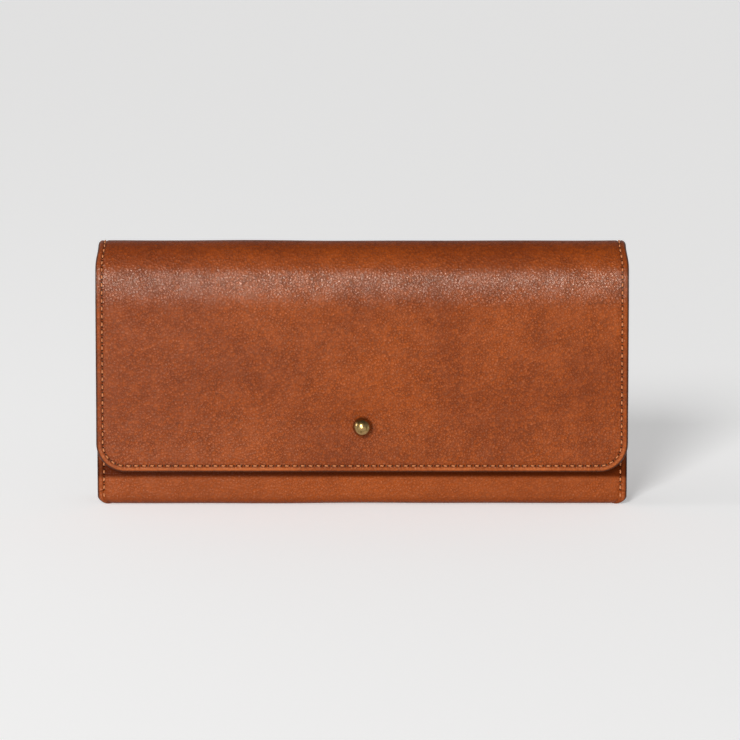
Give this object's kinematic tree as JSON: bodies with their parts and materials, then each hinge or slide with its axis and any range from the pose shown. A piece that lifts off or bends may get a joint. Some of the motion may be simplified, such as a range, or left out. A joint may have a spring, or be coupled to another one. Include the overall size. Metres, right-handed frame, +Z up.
{
  "type": "long wallet",
  "caption": "Long leather wallet with a rolled spine, a flap held by a ball press stud, gusseted note compartments, card slots and a zipped coin pocket.",
  "frame": {"origin": "centre of the bounding box in plan, at the level of the base the wallet stands on", "axes": "+X along the wallet's length, towards the end where the closed zip's slider lies; +Y towards the back panel; +Z up, from the base to the spine"},
  "size_m": [0.2032, 0.0324, 0.1012],
  "materials": {
    "outer_leather": "cognac brown full-grain leather, crackled pebble grain, satin wax finish",
    "inner_leather": "smooth split leather, matte",
    "lining": "twill cotton lining, tan",
    "board": "pressed pulp board, unseen",
    "thread": "waxed polyester thread, golden tan",
    "stud_brass": "antique brass, polished on the high spots",
    "zip_brass": "satin brass",
    "zip_tape": "herringbone zip tape, dark brown"
  },
  "bodies": {
    "case": {"back_panel_leather": "outer_leather", "back_panel_board": "board", "base_board": "board", "back_panel_lining": "lining", "back_seam_thread": "thread", "card_slot_1": "inner_leather", "card_slot_2": "inner_leather", "card_slot_3": "inner_leather", "card_slot_4": "inner_leather", "card_slot_thread": "thread", "gusset_left": "inner_leather", "gusset_right": "inner_leather"},
    "spine_rear": {"spine_rear_leather": "outer_leather", "spine_rear_lining": "lining", "spine_rear_thread": "thread"},
    "spine_front": {"spine_front_leather": "outer_leather", "spine_front_lining": "lining", "spine_front_thread": "thread"},
    "flap": {"flap_leather": "outer_leather", "flap_board": "board", "flap_lining": "lining", "flap_thread": "thread", "snap_ball_cap": "stud_brass", "snap_socket": "stud_brass", "snap_socket_spring": "stud_brass"},
    "front": {"front_panel_leather": "outer_leather", "front_panel_board": "board", "front_panel_lining": "lining", "front_slip_pocket": "inner_leather", "front_panel_thread": "thread", "snap_stud": "stud_brass", "snap_eyelet": "stud_brass"},
    "divider": {"coin_pocket_leather": "inner_leather", "coin_pocket_lining": "lining", "coin_pocket_thread": "thread", "zip_tape_front": "zip_tape", "zip_tape_rear": "zip_tape", "zip_coil_front": "zip_brass", "zip_coil_rear": "zip_brass", "zip_stops": "zip_brass"},
    "zip_slider": {"zip_slider_body": "zip_brass", "zip_slider_bail": "zip_brass"},
    "zip_pull": {"zip_pull_tab": "zip_brass"}
  },
  "joints": [
    {"name": "flap_open", "type": "hinge", "parent": "case", "child": "spine_rear", "pos_m": [0, 0.01417, 0.09436], "axis": [-1, 0, 0], "range_deg": [0, 60]},
    {"name": "spine_unroll_top", "type": "hinge", "parent": "spine_rear", "child": "spine_front", "pos_m": [0, 0.00267, 0.101], "axis": [-1, 0, 0], "range_deg": [0, 60]},
    {"name": "spine_unroll_front", "type": "hinge", "parent": "spine_front", "child": "flap", "pos_m": [0, -0.00882, 0.09436], "axis": [-1, 0, 0], "range_deg": [0, 60]},
    {"name": "front_fan_open", "type": "hinge", "parent": "case", "child": "front", "pos_m": [0, -0.0067, 0.003], "axis": [1, 0, 0], "range_deg": [0, 24], "deforming": ["gusset_left", "gusset_right"]},
    {"name": "coin_pocket_fan", "type": "hinge", "parent": "case", "child": "divider", "pos_m": [0, -0.0067, 0.003], "axis": [1, 0, 0], "range_deg": [0, 12]},
    {"name": "zip_slide", "type": "slide", "parent": "divider", "child": "zip_slider", "axis": [-1, 0, 0], "range_m": [0, 0.158]},
    {"name": "zip_pull_swing", "type": "hinge", "parent": "zip_slider", "child": "zip_pull", "pos_m": [0.079, 0.00395, 0.07855], "axis": [0, 1, 0], "range_deg": [0, 180]}
  ],
  "couplings": [
    {"joint": "spine_unroll_top", "follows": "flap_open", "ratio": 1},
    {"joint": "spine_unroll_front", "follows": "flap_open", "ratio": 1},
    {"joint": "front_fan_open", "follows": "flap_open", "ratio": 0.4},
    {"joint": "coin_pocket_fan", "follows": "flap_open", "ratio": 0.2}
  ]
}
